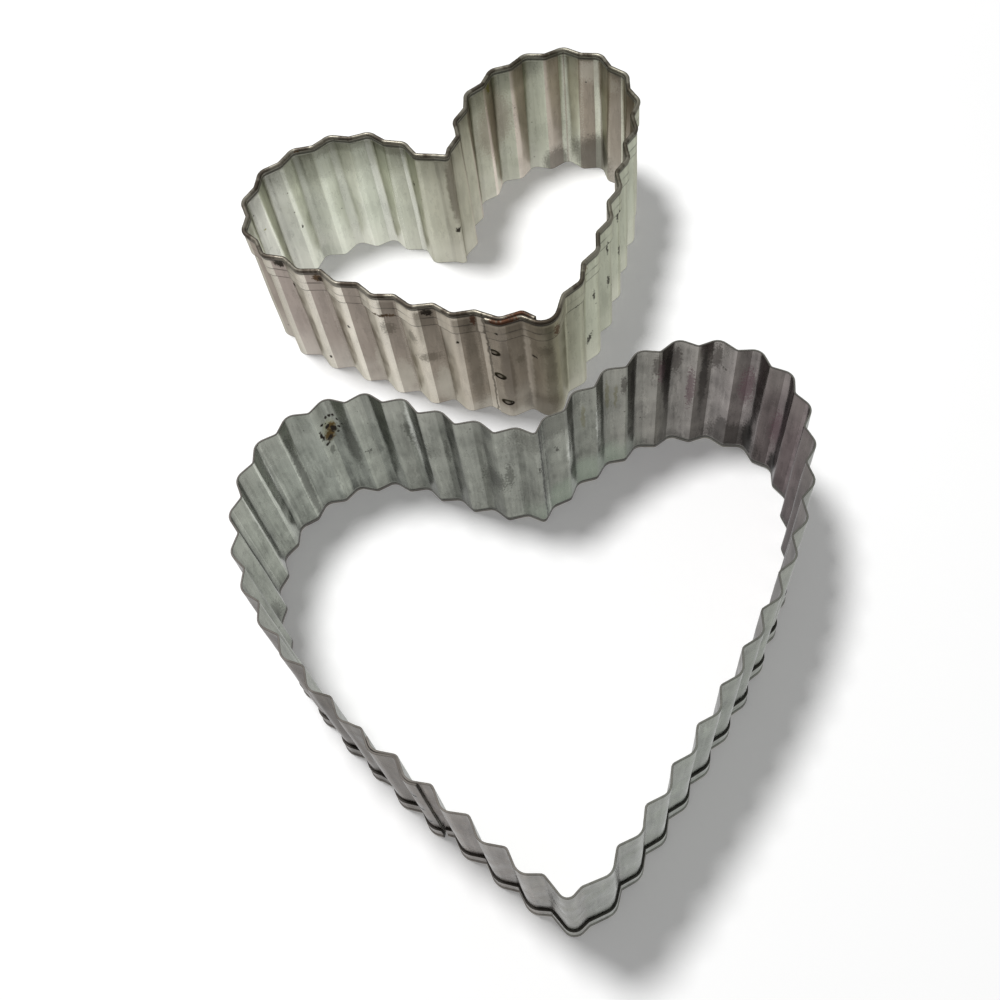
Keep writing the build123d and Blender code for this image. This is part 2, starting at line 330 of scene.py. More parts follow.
def hemmed_section(strip, hem):
    """Wall, rolled bead and leaf, as rows of (x, y, outside)."""
    half = strip.sheet / 2
    outer = strip.bead / 2
    inner = outer - strip.sheet
    centre = (outer - half, strip.height - outer)
    lead = strip.bead_lead
    leaf_inner = half + strip.leaf_gap
    leaf_outer = leaf_inner + strip.sheet
    foot = strip.height - hem
    out_end = (centre[0] + outer * cos(lead), centre[1] - outer * sin(lead))
    in_end = (centre[0] + inner * cos(lead), centre[1] - inner * sin(lead))
    out_knee = (leaf_outer, out_end[1] - (out_end[0] - leaf_outer) / tan(lead))
    in_knee = (leaf_inner, in_end[1] - (in_end[0] - leaf_inner) / tan(lead))
    burr = strip.burr
    outline = split_arc(centre, outer, pi, -lead, RIM_FACES)
    outline += split_line(out_end, out_knee)
    outline += split_line(out_knee, (leaf_outer, foot + burr))
    outline += [(leaf_outer, foot + burr), (leaf_outer - burr, foot), (leaf_inner, foot)]
    outline += split_line((leaf_inner, foot), in_knee)[1:]
    outline += split_line(in_knee, in_end)
    outline += split_arc(centre, inner, -lead, pi, RIM_INNER_FACES)
    outline += split_line((half, centre[1]), (half, burr))
    outline += [(half, burr), (half - burr, 0), (burr - half, 0)]
    inside = split_line((-half, burr), (-half, centre[1]))
    return [(x, y, 0.0) for x, y in inside] + [(x, y, 1.0) for x, y in outline]


def plain_section(strip):
    """The covered end of the large strip, where the hem is cut away."""
    half = strip.sheet / 2
    top = strip.height - strip.bead / 2
    burr = strip.burr
    inside = split_line((-half, burr), (-half, top))
    outline = [(-half, top), (half, top)] + split_line((half, top), (half, burr))[1:]
    outline += [(half, burr), (half - burr, 0), (burr - half, 0)]
    return [(x, y, 0.0) for x, y in inside] + [(x, y, 1.0) for x, y in outline]


def new_object(name, data):
    """A new object in the scene, made of a mesh, a lamp or a camera."""
    found = bpy.data.objects.new(name, data)
    bpy.context.scene.collection.objects.link(found)
    return found


def chain_object(name, points, closed, floats=(), vectors=()):
    """A chain of edges that carries named values, as the start of a node tree."""
    mesh = bpy.data.meshes.new(name)
    edges = [(i, i + 1) for i in range(len(points) - 1)]
    if closed:
        edges.append((len(points) - 1, 0))
    mesh.from_pydata(points, edges, [])
    for label, values in floats:
        mesh.attributes.new(label, "FLOAT", "POINT").data.foreach_set("value", values)
    for label, values in vectors:
        flat = [part for value in values for part in value]
        mesh.attributes.new(label, "FLOAT_VECTOR", "POINT").data.foreach_set("vector", flat)
    return new_object(name, mesh)


def run_object(name, rows):
    """The middle line of a strip with its flute vectors, bend radii, places, laps and folds."""
    points, flutes, bends, places, laps = zip(*rows)
    folds = [(flute.length > 0) * (1.0 if place % 2 == 0 else -1.0) for flute, place in zip(flutes, places)]
    return chain_object(
        name, [(*point, 0.0) for point in points], False,
        floats=(("bend", bends), ("place", places), ("lap", laps), ("fold", folds)),
        vectors=(("flute", [(*flute, 0.0) for flute in flutes]),),
    )


def section_object(name, rows):
    """A closed section whose points know whether they lie on the outer face."""
    points = [(x, y, 0.0) for x, y, outside in rows]
    return chain_object(name, points, True, floats=(("outside", [outside for x, y, outside in rows]),))


def way_out(heart, sizes, lapped):
    """The direction in which the lapped end nests over the other, as one stacked sheet on another."""
    places = heart_places(heart, sizes)
    total = sum((places[place % len(places)][1] for place in lapped), Vector((0, 0)))
    return (*total.normalized(), 0.0)


# Node trees

def connect(node, inputs):
    """Fills a node's inputs: a socket is linked, and any other value is set."""
    for key, value in inputs.items():
        if isinstance(value, bpy.types.NodeSocket):
            node.id_data.links.new(value, node.inputs[key])
        else:
            node.inputs[key].default_value = value


def add_node(tree, kind, *values, out=0, stops=(), inputs=(), **settings):
    """Adds a node, such as "ShaderNodeMath MULTIPLY", and returns one of its outputs.

    Values fill its inputs in order, and inputs fill them by name or number. Stops are the places and
    hex colours of a colour ramp.
    """
    kind, _, operation = kind.partition(" ")
    node = tree.nodes.new(kind)
    if operation:
        node.operation = operation
    for key, value in settings.items():
        setattr(node, key, value)
    for count, (place, code) in enumerate(stops):
        found = node.color_ramp.elements
        stop = found[count] if count < 2 else found.new(1.0)
        stop.position = place
        stop.color = srgb(code)
    connect(node, {**dict(enumerate(values)), **dict(inputs)})
    return node.outputs[out] if node.outputs else None


# Kinds of node that are used often. With SMOOTH, a range eases in and out. A mix of two colours takes
# its share of the second one and the colours at inputs of these numbers.
SUBTRACT = "ShaderNodeMath SUBTRACT"
MULTIPLY = "ShaderNodeMath MULTIPLY"
MULTIPLY_ADD = "ShaderNodeMath MULTIPLY_ADD"
MAXIMUM = "ShaderNodeMath MAXIMUM"
RANGE = "ShaderNodeMapRange"
SMOOTH = {"interpolation_type": "SMOOTHSTEP"}
MIX = {"kind": "ShaderNodeMix", "data_type": "RGBA", "out": 2}
SHARE, FIRST, SECOND = 0, 6, 7

# What the fluted strip's node tree is given, and the named values that it reads from its points
FLUTED_INPUTS = {
    "Section": "Object", "Flute Reach": "Float", "Uneven": "Float", "Hem Stiffness": "Float",
    "Turned Over": "Bool", "Height": "Float", "Lap Foot Step": "Float", "Lap Head Step": "Float",
    "Flare Foot": "Float", "Lap Way": "Vector", "Spacing": "Float", "Waver": "Float", "Seed": "Int",
    "Tinplate": "Material",
}
STRIP_VALUES = {
    "bend": "FLOAT", "place": "FLOAT", "lap": "FLOAT", "fold": "FLOAT", "outside": "FLOAT",
    "along": "FLOAT", "rise": "FLOAT", "flute": "FLOAT_VECTOR", "pushed": "FLOAT_VECTOR",
    "outward": "FLOAT_VECTOR",
}


def stored(add, geometry, label, value, kind="FLOAT"):
    """The geometry with one more named value on each of its points."""
    return add("GeometryNodeStoreNamedAttribute", data_type=kind, domain="POINT",
               inputs={"Geometry": geometry, "Name": label, "Value": value})


def moved(add, geometry, direction, distance):
    """The geometry with its points moved by a distance along a direction."""
    offset = add("ShaderNodeVectorMath SCALE", direction, inputs={"Scale": distance})
    return add("GeometryNodeSetPosition", inputs={"Geometry": geometry, "Offset": offset})


def fluted_line(add, given, strip, side):
    """The middle line, bent into flutes, which knows its length and the way out of the heart."""
    # Each bend of the line is pushed out or in, a little more or less by a number from -1 to 1
    line = add("GeometryNodeMeshToCurve", given["Geometry"])
    chance = add("FunctionNodeRandomValue", data_type="FLOAT", out=1,
                 inputs={2: -1.0, 3: 1.0, "Seed": given["Seed"]})
    reach = add(MULTIPLY, add(MULTIPLY_ADD, chance, given["Uneven"], 1.0), given["Flute Reach"])
    push = add("ShaderNodeVectorMath SCALE", strip["flute"], inputs={"Scale": reach})
    line = stored(add, line, "pushed", push, "FLOAT_VECTOR")
    line = add("GeometryNodeSetPosition", inputs={"Geometry": line, "Offset": strip["pushed"]})
    line = add("GeometryNodeFilletCurve", mode="POLY", inputs={
        "Curve": line, "Radius": strip["bend"], "Count": BEND_FACES, "Limit Radius": True})
    line = add("GeometryNodeResampleCurve", mode="LENGTH", inputs={"Curve": line, "Length": given["Spacing"]})
    left = add("ShaderNodeVectorMath CROSS_PRODUCT", (0.0, 0.0, 1.0), add("GeometryNodeInputTangent"))
    outward = add("ShaderNodeVectorMath SCALE", left, inputs={"Scale": side})
    line = stored(add, line, "along", add("GeometryNodeSplineParameter", out="Length"))
    line = stored(add, line, "outward", outward, "FLOAT_VECTOR")
    return add("GeometryNodeSetCurveNormal", line, mode="Z_UP")


def swept_band(add, given, line, side):
    """The section rolled along the line, turned over for a cutter that lies on its rim."""
    turned = given["Turned Over"]
    section = add("GeometryNodeObjectInfo", out="Geometry", inputs={"Object": given["Section"]})
    section = add("GeometryNodeMeshToCurve", section)
    half_turn = add("ShaderNodeCombineXYZ", 0.0, 0.0, add(MULTIPLY_ADD, turned, -pi, pi))
    section = add("GeometryNodeTransform", inputs={"Geometry": section, "Rotation": half_turn})
    band = add("GeometryNodeCurveToMesh", inputs={
        "Curve": line, "Profile Curve": section, "Fill Caps": True})
    depth = add(MULTIPLY, turned, given["Height"])
    band = moved(add, band, (0.0, 0.0, 1.0), depth)
    # Height above the cutting edge, whichever way up the cutter lies
    z = add("ShaderNodeSeparateXYZ", add("GeometryNodeInputPosition"), out="Z")
    return stored(add, band, "rise", add(MULTIPLY_ADD, z, side, depth))


def settled_band(add, given, strip, band):
    """The band with its flutes eased at the hem, its lap stepped out and its wall slightly wavering."""
    # The hem is stiffer than the wall, so the flutes fade a little towards it
    fade = add(RANGE, strip["rise"], FADE_FOOT, FADE_HEAD, **SMOOTH)
    ease = add(MULTIPLY, add(MULTIPLY, fade, given["Hem Stiffness"]), -1.0)
    band = moved(add, band, strip["pushed"], ease)
    # The lapped end nests over the other, stepped out at the wall and at the rim
    step = add(RANGE, strip["rise"], given["Flare Foot"], given["Height"], given["Lap Foot Step"],
               given["Lap Head Step"], **SMOOTH)
    lap = add(RANGE, strip["lap"], **SMOOTH)
    band = moved(add, band, given["Lap Way"], add(MULTIPLY, step, lap))
    # Slow waver of the wall, as hand bending leaves it, gone at the seam
    at = add("ShaderNodeCombineXYZ", strip["along"], 0.0, strip["rise"])
    wander = add("ShaderNodeTexNoise", out="Fac", noise_dimensions="4D", inputs={
        "Vector": at, "W": given["Seed"], "Scale": SWINGS, "Detail": 1.0})
    clear_start = add(RANGE, strip["along"], STEADY_END, WANDER_START, **SMOOTH)
    clear = add(MULTIPLY, clear_start, add(SUBTRACT, 1.0, lap))
    swing = add(MULTIPLY, add(SUBTRACT, wander, 0.5), add(MULTIPLY, clear, given["Waver"]))
    return moved(add, band, strip["outward"], swing)


def fluted_strip_tree():
    """Bends a middle line into flutes, rolls the section along it and steps out the lap."""
    tree = bpy.data.node_groups.new("Fluted strip", "GeometryNodeTree")
    tree.interface.new_socket("Geometry", in_out="INPUT", socket_type="NodeSocketGeometry")
    for label, kind in FLUTED_INPUTS.items():
        tree.interface.new_socket(label, in_out="INPUT", socket_type="NodeSocket" + kind)
    tree.interface.new_socket("Geometry", in_out="OUTPUT", socket_type="NodeSocketGeometry")
    add = partial(add_node, tree)
    given = tree.nodes.new("NodeGroupInput").outputs
    strip = {label: add("GeometryNodeInputNamedAttribute", label, data_type=kind)
             for label, kind in STRIP_VALUES.items()}
    side = add(MULTIPLY_ADD, given["Turned Over"], -2.0, 1.0)
    line = fluted_line(add, given, strip, side)
    band = settled_band(add, given, strip, swept_band(add, given, line, side))
    # What the tinplate reads: where a point lies on the strip, and on which facet
    on_strip = add("ShaderNodeCombineXYZ", strip["along"], strip["rise"], strip["outside"])
    band = stored(add, band, "strip", on_strip, "FLOAT_VECTOR")
    on_facet = add("ShaderNodeCombineXYZ", strip["place"], strip["fold"])
    band = stored(add, band, "facet", on_facet, "FLOAT_VECTOR")
    band = add("GeometryNodeRealizeInstances", band)
    band = add("GeometryNodeSetMaterial", inputs={"Geometry": band, "Material": given["Tinplate"]})
    add("NodeGroupOutput", band)
    return tree


def bent_band(name, rows, section_rows, values):
    """Runs the node tree on one middle line and one section, and returns the plain mesh."""
    run = run_object(name + " run", rows)
    section = section_object(name + " section", section_rows)
    tree = bpy.data.node_groups.get("Fluted strip") or fluted_strip_tree()
    sockets = {item.name: item.identifier for item in tree.interface.items_tree if item.in_out == "INPUT"}
    modifier = run.modifiers.new("Fluted strip", "NODES")
    modifier.node_group = tree
    modifier[sockets["Section"]] = section
    for label, value in values.items():
        modifier[sockets[label]] = value
    graph = bpy.context.evaluated_depsgraph_get()
    mesh = bpy.data.meshes.new_from_object(run.evaluated_get(graph), depsgraph=graph)
    run.modifiers.remove(modifier)
    for spent in (run, section):
        bpy.data.objects.remove(spent)
    if not mesh.polygons:
        raise RuntimeError("the fluted strip came out empty")
    return mesh


def finish_band(name, meshes, node, body):
    """Joins the meshes of one band, points its faces outwards and hangs it on its body."""
    joined = bmesh.new()
    for mesh in meshes:
        joined.from_mesh(mesh)
    bmesh.ops.recalc_face_normals(joined, faces=joined.faces)
    for face in joined.faces:
        face.smooth = True
    for edge in joined.edges:
        if len(edge.link_faces) == 2 and edge.calc_face_angle(0.0) > SHARP_FOLD:
            edge.smooth = False
    result = meshes[0]
    joined.to_mesh(result)
    joined.free()
    result.name = name
    piece = new_object(name, result)
    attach(piece, body)
    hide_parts(node)
    return piece


# Tints of the old tin along each strip, from its covered end to its outer end: even and odd facets of
# the flutes on the inner and on the outer face. Besides the tin's own tone they hold painted light and
# shade: the even and odd facets are lit and shaded copies of one tin, and stretches are painted
# lighter where light fell and darker where shade fell.
LARGE_TINTS_AND_SHADES = {
    "inner_even": ((0.0, "#A4A89E"), (0.3, "#8A8482"), (0.395, "#7E7273"), (0.44, "#8A8482"),
        (0.5, "#84827C"), (0.545, "#7E8078"), (0.585, "#888A82"), (0.63, "#787A72"), (0.72, "#8A8E86"),
        (0.8, "#989C92"), (0.9, "#A8ACA2")),
    "inner_odd": ((0.0, "#A8ABA0"), (0.3, "#6C6664"), (0.395, "#665C5C"), (0.44, "#5C5654"),
        (0.5, "#605E58"), (0.53, "#7E8078"), (0.57, "#8E9088"), (0.67, "#8A8C84"), (0.72, "#979B91"),
        (0.775, "#BCC0B6"), (0.9, "#B4B7AC")),
    "outer_even": ((0.0, "#989089"), (0.07, "#9A948D"), (0.1, "#9EA298"), (0.19, "#989E94"),
        (0.3, "#989C92"), (0.85, "#9A938E"), (0.93, "#8C8580"), (1.0, "#908882")),
    "outer_odd": ((0.0, "#8A827C"), (0.05, "#8C857F"), (0.1, "#A2A29A"), (0.19, "#AEB1A8"),
        (0.3, "#9A9B94"), (0.88, "#877F79"), (0.94, "#6C6660"), (1.0, "#837C76")),
}
SMALL_TINTS_AND_SHADES = {
    "inner_even": ((0.0, "#A8A598"), (0.25, "#DCDCD2"), (0.31, "#CECFC4"), (0.345, "#B8BBAD"),
        (0.375, "#D8DBCC"), (0.41, "#F0F2E6"), (0.44, "#ECEEE0"), (0.46, "#ACAA9A"), (0.53, "#ACAB9A"),
        (0.57, "#B2B3A2"), (0.605, "#AAAC9B"), (0.64, "#C6C9B7"), (0.68, "#E0E0CE")),
    "inner_odd": ((0.0, "#A8A598"), (0.25, "#DEDFD3"), (0.3, "#DEE0D3"), (0.36, "#D4D8C8"),
        (0.4, "#C4C8B8"), (0.46, "#B6B5A4"), (0.53, "#B0A79C"), (0.562, "#D6CCC0"), (0.595, "#B8AEA2"),
        (0.62, "#B2A89C"), (0.655, "#8E8578"), (0.7, "#9A9286")),
    "outer_even": ((0.0, "#92897E"), (0.05, "#BAB1A4"), (0.09, "#C6BFB2"), (0.13, "#DCD6CA"),
        (0.18, "#D8D2C6"), (0.22, "#C6C1B6"), (0.27, "#BCB8AE"), (0.77, "#B8BCAC"), (0.9, "#B0B3A2"),
        (0.945, "#84816F"), (0.96, "#6E665A"), (1.0, "#9E958A")),
    "outer_odd": ((0.0, "#7C7468"), (0.05, "#82796D"), (0.09, "#8E857A"), (0.16, "#9C9289"),
        (0.22, "#A59A93"), (0.27, "#9E968D"), (0.77, "#9A9E8B"), (0.89, "#A8AC98"), (0.93, "#AAAA96"),
        (0.96, "#6E665B"), (1.0, "#847B6F")),
}

# Stains, each group with a colour, a strength and its grit, from a soft smudge to loose grains, and
# some groups of painted light and shade, noted at each. Each mark is along, rise, width and height on
# the strip in millimetres, then 1 on the outer face, and its tilt. One material takes about 60 marks:
# with 67 the renderer drew the whole piece black.
LARGE_MARKS = (
    # Painted shade: dark facets in narrow stripes, and a patch darkening the wall at its foot by the floor
    ("#2A2623", 0.62, 0.25, ((137, 26, 19, 13), (158.4, 7, 2.2, 16), (151.2, 10, 2.4, 28),
        (144.4, 10, 2.4, 28), (139.5, 23.5, 5, 10))),
    # Painted shade: two facets darker still at the foot
    ("#1C1917", 0.88, 0.25, ((134.2, 25, 4.6, 18), (127.2, 27, 4.8, 13))),
    ("#40423B", 0.55, 0.25, ((219, 13, 4, 24), (230.6, 18, 3, 44))),
    ("#EEF1E9", 0.62, 0.1, ((245, 7, 3.8, 32), (237.2, 7, 4.2, 30), (205.6, 8, 4, 34), (166.4, 11, 2.8, 22),
        (173.8, 13, 2.8, 18))),
    ("#9CA898", 0.5, 0.15, ((171, 27, 40, 18),)),
    ("#3C3D36", 0.34, 0.3, ((178, 3, 26, 11),)),
    ("#2E2520", 0.5, 0.4, ((149.4, 5, 3.4, 12), (142.2, 4, 3.6, 11), (153.4, 4, 2.6, 9),
        (160.6, 5, 1.8, 9))),
    ("#6E6A46", 0.4, 0.3, ((163.6, 7, 1.3, 13), (162, 8, 1, 10), (169.6, 8, 1.2, 11))),
    # Painted shade and painted highlight: a dark line down the crease of the cleft, and a light line beside
    # it
    ("#24261F", 0.7, 0.1, ((180.7, 15, 0.8, 80),)),
    ("#C6CABF", 0.5, 0.1, ((179.5, 15, 0.9, 80),)),
    ("#6A4C56", 0.46, 0.5, ((136.1, 9.7, 5, 18), (146.5, 12, 2.6, 20), (128, 16, 6, 18),
        (152.5, 6, 2.4, 12))),
    ("#989A84", 0.8, 0.2, ((222.2, 7.3, 4.4, 7.8),)),
    ("#5A4514", 0.95, 0.3, ((222.5, 8.8, 4, 5.4), (221.7, 7, 3.4, 3.4))),
    ("#1A120A", 1.0, 0.3, ((221.5, 8.1, 2.2, 3.4), (222.7, 9.6, 2.4, 2), (222.4, 6.5, 1.7, 1.5),
        (224.1, 7.6, 1.1, 4.6), (223.6, 10.6, 1.7, 1.2), (222.1, 4.2, 1, 1.1), (221.3, 4.2, 1, 1.1),
        (220.6, 4.3, 1, 1.1), (223.4, 5.2, 0.9, 0.9), (220.1, 5.6, 0.8, 1.1), (220.3, 8, 0.9, 1),
        (220.8, 9.2, 0.8, 0.9), (222.5, 5.6, 0.8, 0.8), (219.6, 7, 0.7, 0.8))),
    ("#2E2B26", 0.5, 0.8, ((181.3, 11.6, 1.2, 3), (165.7, 6.2, 1.8, 1.6), (140.5, 6.4, 1.4, 1.4),
        (216.5, 16, 2.2, 2.2), (238, 8.5, 1.8, 1.6), (176.7, 10.5, 1.8, 3))),
    ("#4C4E46", 0.45, 0.5, ((223.2, 13, 2.4, 4), (205, 12, 8, 14), (190, 16, 9, 12), (256, 25, 7, 11),
        (207.5, 9, 2, 10), (199.5, 12, 2, 12), (187, 14, 2.4, 14), (244, 16, 2.4, 16))),
)
SMALL_MARKS = (
    # Pale patches: the three on the outer face near the foot are a painted reflection of the bright floor
    ("#CBC6B8", 0.4, 0.2, ((21.1, 6, 5, 18, 1), (30.5, 6, 5, 16, 1), (36.2, 7, 5, 14, 1),
        (177, 26, 19, 9))),
    # Painted shade: a dark facet on each side of the seam, and darker bands just under the rim inside
    ("#3E372C", 0.34, 0.2, ((13.6, 15, 3.8, 46, 1), (252.6, 12, 3.2, 36, 1), (112, 28, 18, 3.4),
        (99, 28.6, 26, 6))),
    ("#4A4A3A", 0.27, 0.15, ((100, 27, 54, 19), (153, 28, 34, 14))),
    ("#7A6A5E", 0.42, 0.2, ((150, 18, 17, 24),)),
    ("#E6E8DA", 0.5, 0.1, ((107.9, 17, 4.4, 26), (116.2, 20, 4.4, 30), (177.8, 16, 4.4, 16),
        (149.2, 4, 3.2, 14))),
    # Painted shade at the foot of the right lobe, by the floor
    ("#2E281F", 0.58, 0.2, ((175.5, 4, 18, 17), (165.5, 1.5, 9, 13))),
    # Painted shade down the cleft
    ("#5A5246", 0.62, 0.1, ((125.6, 21, 3.4, 27), (126, 26, 2.6, 10))),
    ("#5E4224", 0.9, 0.5, ((46.3, 28, 4.2, 3.6, 1), (31.5, 24.3, 8, 2.2, 1), (91, 29.4, 2.2, 1.3, 1),
        (238.6, 28.2, 2.8, 3, 1), (251.1, 26, 2.4, 5, 1))),
    ("#221A13", 0.95, 0.4, ((55.5, 28.3, 4.2, 3.4, 1), (21.8, 28.1, 3.8, 2.8, 1), (45.8, 27.6, 2, 2.2, 1),
        (262.3, 26.6, 1.2, 1.2, 1), (255.5, 18.2, 2.2, 1.2, 1, 20), (125.2, 10.1, 2.2, 2.5),
        (54.1, 22.4, 1.1, 1.8, 1), (49.3, 4, 1.2, 1.5, 1), (86.3, 13.2, 0.8, 1.5), (116.2, 20.4, 0.8, 2.4),
        (41.2, 17.1, 0.9, 0.9, 1), (16, 21.5, 0.9, 1.1, 1), (126.2, 0.9, 1.1, 3))),
    ("#33302A", 0.85, 0.5, ((227.4, 14, 1.2, 5, 1), (218.5, 13.7, 1.2, 5, 1), (218.8, 23.4, 1, 6, 1),
        (235.8, 18.5, 1.1, 4.6, 1), (237.3, 7, 1.7, 4.8, 1, 18), (227.4, 23.3, 0.9, 7, 1),
        (244, 24.2, 3.4, 1.2, 1))),
    ("#54301E", 0.85, 0.35, ((261, 29.6, 9, 2, 1), (3.5, 29.6, 9, 1.8, 1), (265.2, 27.6, 1.6, 5.4, 1),
        (12.4, 27.8, 2, 5.6, 1))),
    ("#8F8A2C", 0.7, 0.4, ((149.4, 28, 2.4, 5), (76.3, 20.3, 1.3, 0.9))),
    ("#625A4C", 0.42, 0.45, ((253.6, 20.4, 5, 6, 1), (31.3, 20.5, 5, 6, 1), (26, 20, 4, 6, 1),
        (22.9, 14.8, 8, 4.6, 1), (258.6, 17, 3, 4, 1))),
    # Painted shadow of the lapping end's cut edge, in a thin line beside the seam
    ("#241E18", 0.6, 0.1, ((10.1, 15, 0.8, 70, 1),)),
    ("#4A4239", 0.5, 0.1, ((261.4, 13, 3.6, 36, 1), (8.4, 20, 6, 34, 1), (255, 3, 12, 12, 1))),
    ("#D2C8BA", 0.26, 0.0, ((256.8, 15, 2.2, 40, 1),)),
)

# Weld dents of the seams, laid out as the stains are
LARGE_WELDS = ((307.4, 6.6, 2.8, 2.2, 1), (307.4, 14.4, 2.8, 2.2, 1), (307.4, 22.2, 2.8, 2.2, 1))
SMALL_WELDS = ((262.2, 4.6, 2.9, 2.1, 1), (263.0, 12.7, 2.9, 2.1, 1), (263.5, 19.7, 2.9, 2.1, 1))

# The faces lie one apart: how far a mark reaches towards the other, and how differently it is grained
ONE_FACE = 0.4
FACES_APART = 7.0

# Shaken edges of the marks, the pale band at the cutting edge, the dust, and the depth of the relief
RAGGED_GRAIN = 1.3 * mm
RAGGED_REACH = 1.1 * mm
PALE_BAND = 12 * mm
SPECKS_APART = 2.2 * mm
DENT_DEPTH = 0.12 * mm
GRAIN_DEPTH = 0.014 * mm

# The fused steel's pits, and the nuggets' half width, half width and half thickness
PITS_APART = 0.4 * mm
PIT_DEPTH = 0.05 * mm
NUGGET_RADII = (1.1 * mm, 1.1 * mm, 0.24 * mm)


def blotch(add, vector, along, rise, wide, high, outside=0, tilt=0.0):
    """A mark on the strip, placed and sized in millimetres: 1 in its middle, 0 at its edge, less beyond."""
    placed = add("ShaderNodeMapping", vector_type="TEXTURE", inputs={
        "Vector": vector, "Location": (along * mm, rise * mm, outside),
        "Rotation": (0.0, 0.0, radians(tilt)), "Scale": (wide / 2 * mm, high / 2 * mm, ONE_FACE),
    })
    return add(SUBTRACT, 1.0, add("ShaderNodeVectorMath LENGTH", placed, out="Value"))


def grain(add, vector, wide, high, detail, rough, seed):
    """Noise whose features are about so many millimetres wide and high on the strip."""
    placed = add("ShaderNodeMapping", inputs={
        "Vector": vector, "Location": (seed, seed, 0.0),
        "Scale": (1 / (wide * mm), 1 / (high * mm), FACES_APART),
    })
    return add("ShaderNodeTexNoise", out="Fac", inputs={
        "Vector": placed, "Scale": 1.0, "Detail": detail, "Roughness": rough})


def near(add, value, goal, core, edge):
    """1 where a value is no further than the core from its goal, falling to 0 at the edge."""
    apart = add("ShaderNodeMath ABSOLUTE", add(SUBTRACT, value, goal))
    return add(RANGE, apart, core, edge, 1.0, 0.0, **SMOOTH)


def new_material(name):
    """A new material, its shader, and a function that adds nodes to it."""
    material = bpy.data.materials.new(name)
    material.use_nodes = True
    tree = material.node_tree
    return material, tree.nodes["Principled BSDF"], partial(add_node, tree)


def strip_readings(add):
    """What the parts of the tinplate read: places on the strip and on its facets, and shared noises."""
    on_strip = add("ShaderNodeAttribute", attribute_name="strip", out="Vector")
    on_facet = add("ShaderNodeAttribute", attribute_name="facet", out="Vector")
    along, rise, outside = add("ShaderNodeSeparateXYZ", on_strip).node.outputs
    place, fold = add("ShaderNodeSeparateXYZ", on_facet).node.outputs[:2]
    # Ragged edges for every mark: the strip's own coordinates, shaken by up to half a millimetre
    shake = add("ShaderNodeTexNoise", out="Color", inputs={
        "Vector": on_strip, "Scale": 1 / RAGGED_GRAIN, "Detail": 3.0})
    shake = add("ShaderNodeVectorMath SUBTRACT", shake, (0.5, 0.5, 0.5))
    ragged = add("ShaderNodeVectorMath MULTIPLY_ADD", shake, (RAGGED_REACH, RAGGED_REACH, 0.0), on_strip)
    return SimpleNamespace(
        strip=on_strip, ragged=ragged, along=along, rise=rise, outside=outside,
        inside=add(SUBTRACT, 1.0, outside), facet=add("ShaderNodeMath FLOOR", place), fold=fold,
        cloud=grain(add, ragged, 14, 9, 2.0, 0.5, 3.0),
        mottle=grain(add, on_strip, 2.6, 3.6, 3.0, 0.5, 5.0),
        fine=grain(add, on_strip, 0.35, 0.5, 2.0, 0.6, 1.0))


def tint_and_facet_shade(add, at, tints, run_length):
    """Tint of the tin along the strip, another on every second facet and on each face: the two facet tints
    paint light and shade on alternate facets.
    """
    share = add("ShaderNodeMath DIVIDE", at.along, run_length)
    odd = add("ShaderNodeMath MODULO", add("ShaderNodeMath ADD", at.facet, 100.0), 2.0)
    tinted = {key: add("ShaderNodeValToRGB", share, stops=stops) for key, stops in tints.items()}
    inner = add(**MIX, inputs={SHARE: odd, FIRST: tinted["inner_even"], SECOND: tinted["inner_odd"]})
    outer = add(**MIX, inputs={SHARE: odd, FIRST: tinted["outer_even"], SECOND: tinted["outer_odd"]})
    return add(**MIX, inputs={SHARE: at.outside, FIRST: inner, SECOND: outer})


def aged_tone_and_shade(add, at, height, hem, wear):
    """How much lighter or darker than its tint the tin is, about 1, with painted shade inside along the hem
    band and, in part, in the hollow bends.
    """
    chance = add("ShaderNodeTexWhiteNoise", noise_dimensions="1D", inputs={"W": at.facet})
    streak = grain(add, at.strip, 0.7, 16, 3.0, 0.6, 9.0)
    noises = [(chance, 0.12), (streak, 0.55 * wear), (at.mottle, 0.75 * wear), (at.cloud, 0.6 * wear)]
    # Old water leaves darker runs, a thin tide line where each one dried, and pale drips
    run = grain(add, at.ragged, 1.6, 7.0, 3.0, 0.6, 2.0)
    drip = grain(add, at.ragged, 1.0, 11.0, 2.0, 0.5, 6.0)
    water = [(add(RANGE, run, 0.54, 0.60, **SMOOTH), -0.06 - 0.07 * wear),
             (near(add, run, 0.54, 0.004, 0.016), -0.10 - 0.10 * wear),
             (add(RANGE, drip, 0.56, 0.66, **SMOOTH), 0.16 * wear)]
    # Hollow bends are darker and the ones that stand out lighter, a little across each flute too: partly
    # soiling and rubbing, partly painted shade and highlight that set the facets apart
    hollow = add(MULTIPLY, at.fold, add(MULTIPLY_ADD, at.outside, -2.0, 1.0))
    bends = [(add(MULTIPLY, add(RANGE, hollow, 0.86, 1.0, **SMOOTH), at.inside), -0.10),
             (add(RANGE, hollow, -0.86, -1.0, **SMOOTH), 0.06), (hollow, -0.06)]
    # Painted shade on the inner face along the hem band, darkest just under the rim
    behind_hem = add(RANGE, at.rise, height - 1.5 * hem, height - 0.6 * mm, **SMOOTH)
    painted_hem_shade = [(add(MULTIPLY, behind_hem, at.inside), -0.31)]
    # Noises lie about a half, so half of their depths is taken off to keep the tint's own tone
    tone = 1.0 - sum(depth for _, depth in noises) / 2
    for layer, depth in noises + water + bends + painted_hem_shade:
        tone = add(MULTIPLY_ADD, layer, depth, tone)
    return tone


